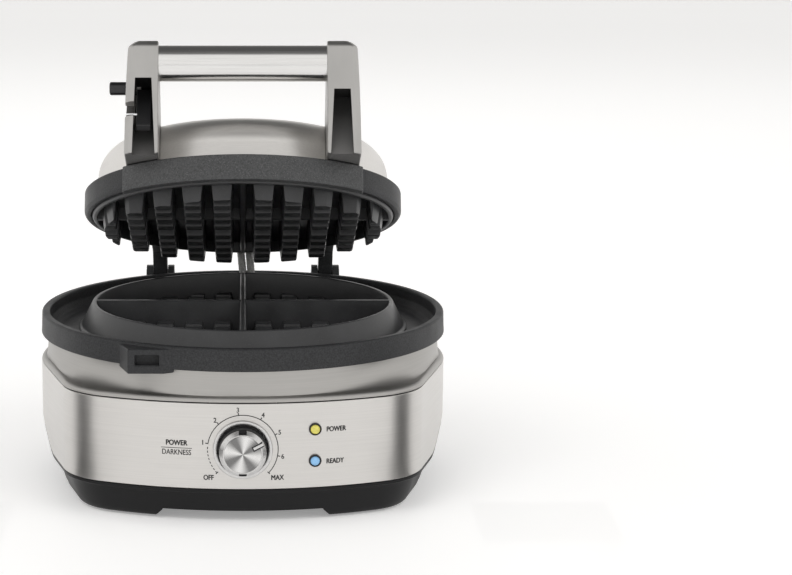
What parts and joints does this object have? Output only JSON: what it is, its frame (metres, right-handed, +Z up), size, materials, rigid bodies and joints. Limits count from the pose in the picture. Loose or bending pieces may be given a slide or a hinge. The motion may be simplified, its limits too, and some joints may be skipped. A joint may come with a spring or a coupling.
{
  "type": "waffle maker",
  "caption": "Round countertop waffle maker with a hinged lid, cross-divided waffle plates, overflow moat, bar handle with latch and a browning dial.",
  "frame": {"origin": "on the surface it stands on, under the middle of its bounding box, which is under the centre of the cooking plates", "axes": "+Z up, the dial faces -Y, +X to the right of someone facing the dial"},
  "size_m": [0.2448, 0.2652, 0.2693],
  "materials": {
    "brushed_steel": "horizontally brushed stainless sheet",
    "cast_black": "fine-textured black coating on cast aluminium",
    "nonstick": "grey-black nonstick coating on cast aluminium",
    "satin_cast": "satin grey die-cast",
    "polished_metal": "turned and polished",
    "black_plastic": "fine moulded grain",
    "rubber": "matt",
    "zinc": "zinc plated",
    "spring_steel": "bright wire",
    "heater_steel": "heat-stained tube",
    "amber_lens": "tinted lens",
    "blue_lens": "tinted lens",
    "pale_plastic": "moulded",
    "circuit_board": "solder mask",
    "brass": "turned",
    "glass_sleeve": "braided glass-fibre sleeve"
  },
  "bodies": {
    "base": {"base_tray": "black_plastic", "foot_pad_1": "rubber", "foot_pad_2": "rubber", "foot_pad_3": "rubber", "foot_pad_4": "rubber", "base_screw_1": "zinc", "base_screw_2": "zinc", "base_screw_3": "zinc", "base_screw_4": "zinc", "steel_wrap": "brushed_steel", "rear_panel": "black_plastic", "shoulder_shell": "brushed_steel", "moat_ring": "cast_black", "lower_plate": "nonstick", "lower_element": "heater_steel", "lower_reflector": "zinc", "dial_bezel": "polished_metal", "power_collar": "black_plastic", "power_lens": "amber_lens", "ready_collar": "black_plastic", "ready_lens": "blue_lens", "dial_switch": "pale_plastic", "control_board": "circuit_board", "buzzer": "black_plastic", "terminal_block": "pale_plastic", "thermostat": "zinc", "thermal_fuse": "zinc", "lead_inlet": "black_plastic", "hinge_bracket_left": "cast_black", "hinge_bracket_right": "cast_black", "hinge_pin_left": "zinc", "hinge_pin_right": "zinc", "wire_sleeve_left": "glass_sleeve", "wire_sleeve_right": "glass_sleeve"},
    "lid": {"lid_ring": "cast_black", "dome_cover": "brushed_steel", "upper_plate": "nonstick", "upper_element": "heater_steel", "upper_reflector": "zinc", "lid_thermal_fuse": "zinc", "lid_hinge_arm_left": "cast_black", "lid_hinge_arm_right": "cast_black", "handle_arm_left": "satin_cast", "handle_arm_right": "satin_cast", "handle_bar": "polished_metal", "handle_rod": "zinc", "latch_detent": "spring_steel"},
    "latch": {"latch_slider": "black_plastic", "latch_peg": "black_plastic"},
    "knob": {"knob_body": "polished_metal", "knob_pointer": "black_plastic", "dial_shaft": "brass"}
  },
  "joints": [
    {"name": "lid_hinge", "type": "hinge", "parent": "base", "child": "lid", "pos_m": [0, 0.122, 0.101], "axis": [-1, 0, 0], "range_deg": [-22.8, 67.2], "deforming": ["wire_sleeve_left", "wire_sleeve_right"]},
    {"name": "latch_slide", "type": "slide", "parent": "lid", "child": "latch", "axis": [0, -0.8035, -0.5953], "range_m": [0, 0.024]},
    {"name": "knob_turn", "type": "hinge", "parent": "base", "child": "knob", "pos_m": [0, -0.121, 0.0444], "axis": [0, 1, 0], "range_deg": [-195, 71]}
  ]
}
